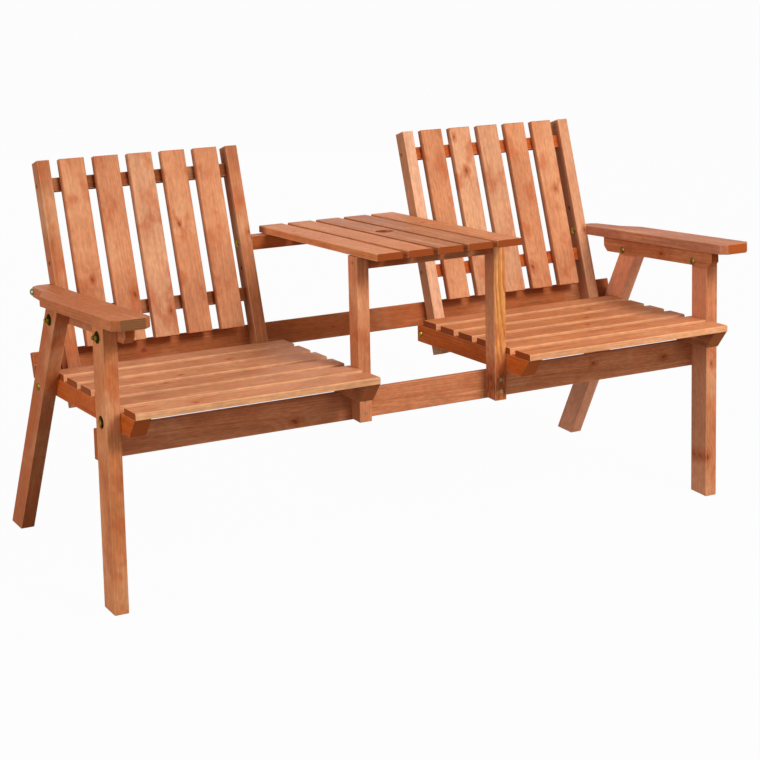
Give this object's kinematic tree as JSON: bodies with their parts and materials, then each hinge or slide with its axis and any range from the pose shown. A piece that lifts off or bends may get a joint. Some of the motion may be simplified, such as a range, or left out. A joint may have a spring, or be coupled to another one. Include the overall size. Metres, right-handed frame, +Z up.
{
  "type": "garden bench with table",
  "caption": "Slatted wooden garden bench with two leaning-back seats, flat arms, and a slatted table with a parasol hole between the seats.",
  "frame": {"origin": "on the ground, at the middle of the bench's width and depth", "axes": "+X along the bench, to the right as seen from the front, +Y to the back, +Z up"},
  "size_m": [1.637, 0.7084, 0.868],
  "materials": {
    "stained_fir": "planed softwood, red-brown stain, satin",
    "yellow_zinc_steel": "yellow zinc plated"
  },
  "bodies": {
    "root": {"arm_board_left": "stained_fir", "arm_board_right": "stained_fir", "arm_rail_left": "stained_fir", "arm_rail_right": "stained_fir", "back_batten_left_lower": "stained_fir", "back_batten_left_upper": "stained_fir", "back_batten_right_lower": "stained_fir", "back_batten_right_upper": "stained_fir", "back_post_left_inner": "stained_fir", "back_post_left_outer": "stained_fir", "back_post_right_inner": "stained_fir", "back_post_right_outer": "stained_fir", "back_slat_left_1": "stained_fir", "back_slat_left_2": "stained_fir", "back_slat_left_3": "stained_fir", "back_slat_left_4": "stained_fir", "back_slat_left_5": "stained_fir", "back_slat_right_1": "stained_fir", "back_slat_right_2": "stained_fir", "back_slat_right_3": "stained_fir", "back_slat_right_4": "stained_fir", "back_slat_right_5": "stained_fir", "front_apron": "stained_fir", "front_leg_left": "stained_fir", "front_leg_right": "stained_fir", "rear_leg_left": "stained_fir", "rear_leg_right": "stained_fir", "rear_rail": "stained_fir", "seat_rail_left_inner": "stained_fir", "seat_rail_left_outer": "stained_fir", "seat_rail_right_inner": "stained_fir", "seat_rail_right_outer": "stained_fir", "seat_slat_left_1": "stained_fir", "seat_slat_left_2": "stained_fir", "seat_slat_left_3": "stained_fir", "seat_slat_left_4": "stained_fir", "seat_slat_left_5": "stained_fir", "seat_slat_left_6": "stained_fir", "seat_slat_right_1": "stained_fir", "seat_slat_right_2": "stained_fir", "seat_slat_right_3": "stained_fir", "seat_slat_right_4": "stained_fir", "seat_slat_right_5": "stained_fir", "seat_slat_right_6": "stained_fir", "table_board_1": "stained_fir", "table_board_2": "stained_fir", "table_board_3": "stained_fir", "table_board_4": "stained_fir", "table_board_5": "stained_fir", "table_crossbar": "stained_fir", "table_post_left": "stained_fir", "table_post_right": "stained_fir", "table_rear_rail": "stained_fir"}
  },
  "joints": []
}
